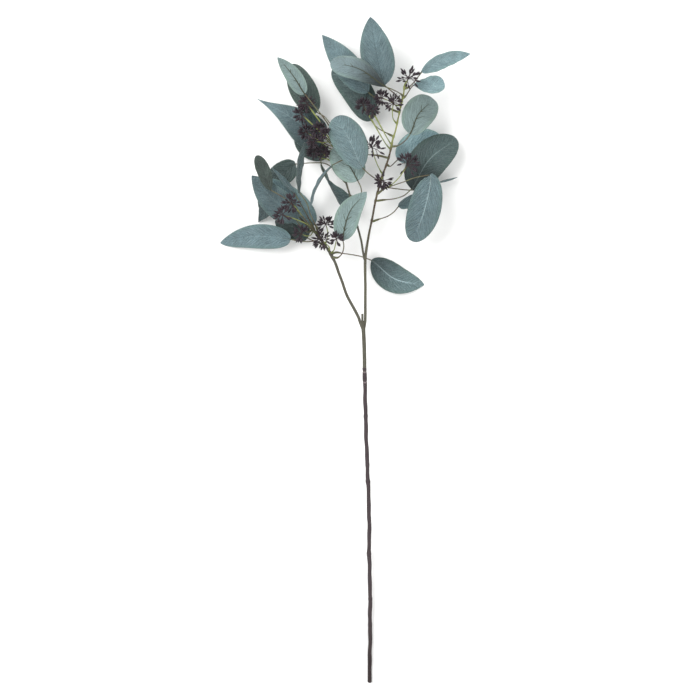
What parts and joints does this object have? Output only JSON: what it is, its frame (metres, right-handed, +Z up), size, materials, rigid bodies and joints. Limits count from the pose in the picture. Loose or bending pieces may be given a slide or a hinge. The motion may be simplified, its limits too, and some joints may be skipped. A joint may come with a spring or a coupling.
{
  "type": "eucalyptus branch",
  "caption": "Cut spray of artificial seeded eucalyptus that lies flat: a thin brown stem, forked twigs, loose grey-green leaves and umbels of pointed buds.",
  "frame": {"origin": "middle of the spray's bounding box, on the surface it lies on", "axes": "+Y along the spray from the cut end of the stem to the tip leaves, +X to the right of it seen from above, +Z up from the surface"},
  "size_m": [0.314, 0.8348, 0.0724],
  "materials": {
    "bark": "matt brown bark coating with low rings, darker at the cut end",
    "twig": "matt grey-green coating",
    "leaf_blue": "matt printed cloth, blue-green upper side with paler veins",
    "leaf_deep": "matt printed cloth, deep green upper side with paler veins",
    "leaf_sage": "matt sage underside with a brown moulded midrib",
    "bud": "satin dark purple buds on thin stalks"
  },
  "bodies": {
    "root": {"main_stem": "bark", "fork_stem": "twig", "leader": "twig", "left_branch": "twig", "middle_branch": "twig", "leaf_centre_front": "leaf_blue", "leaf_centre_lower": "leaf_sage", "leaf_centre_under": "leaf_sage", "leaf_left_blade": "leaf_blue", "leaf_left_edge": "leaf_blue", "leaf_left_front": "leaf_blue", "leaf_left_hanging": "leaf_sage", "leaf_left_lower": "leaf_deep", "leaf_left_slim": "leaf_blue", "leaf_left_striped": "leaf_deep", "leaf_left_upright": "leaf_deep", "leaf_left_wide": "leaf_blue", "leaf_low_left": "leaf_blue", "leaf_low_right": "leaf_deep", "leaf_middle_twisted": "leaf_deep", "leaf_right_back": "leaf_blue", "leaf_right_broad": "leaf_deep", "leaf_right_edge": "leaf_blue", "leaf_right_folded": "leaf_blue", "leaf_right_hanging": "leaf_blue", "leaf_right_turned": "leaf_sage", "leaf_tip_long": "leaf_blue", "leaf_tip_small": "leaf_blue", "leaf_top_left": "leaf_blue", "leaf_top_tall": "leaf_blue", "leaf_top_turned": "leaf_sage", "leaf_top_under": "leaf_deep", "leaf_upper_back": "leaf_deep", "leaf_upper_long": "leaf_blue", "leaf_upper_turned": "leaf_sage", "leaf_upper_under": "leaf_deep", "umbel_centre_top": "bud", "umbel_dark_far": "bud", "umbel_dark_front": "bud", "umbel_dark_left": "bud", "umbel_dark_near": "bud", "umbel_dark_right": "bud", "umbel_dark_top": "bud", "umbel_fork": "bud", "umbel_fork_small": "bud", "umbel_fork_up": "bud", "umbel_left_far": "bud", "umbel_left_low": "bud", "umbel_left_top": "bud", "umbel_right": "bud", "umbel_right_near": "bud", "umbel_tip": "bud", "umbel_top_dark": "bud", "umbel_top_far": "bud", "umbel_top_left": "bud", "umbel_top_right": "bud", "umbel_upper_left": "bud", "umbel_upper_right": "bud"}
  },
  "joints": []
}
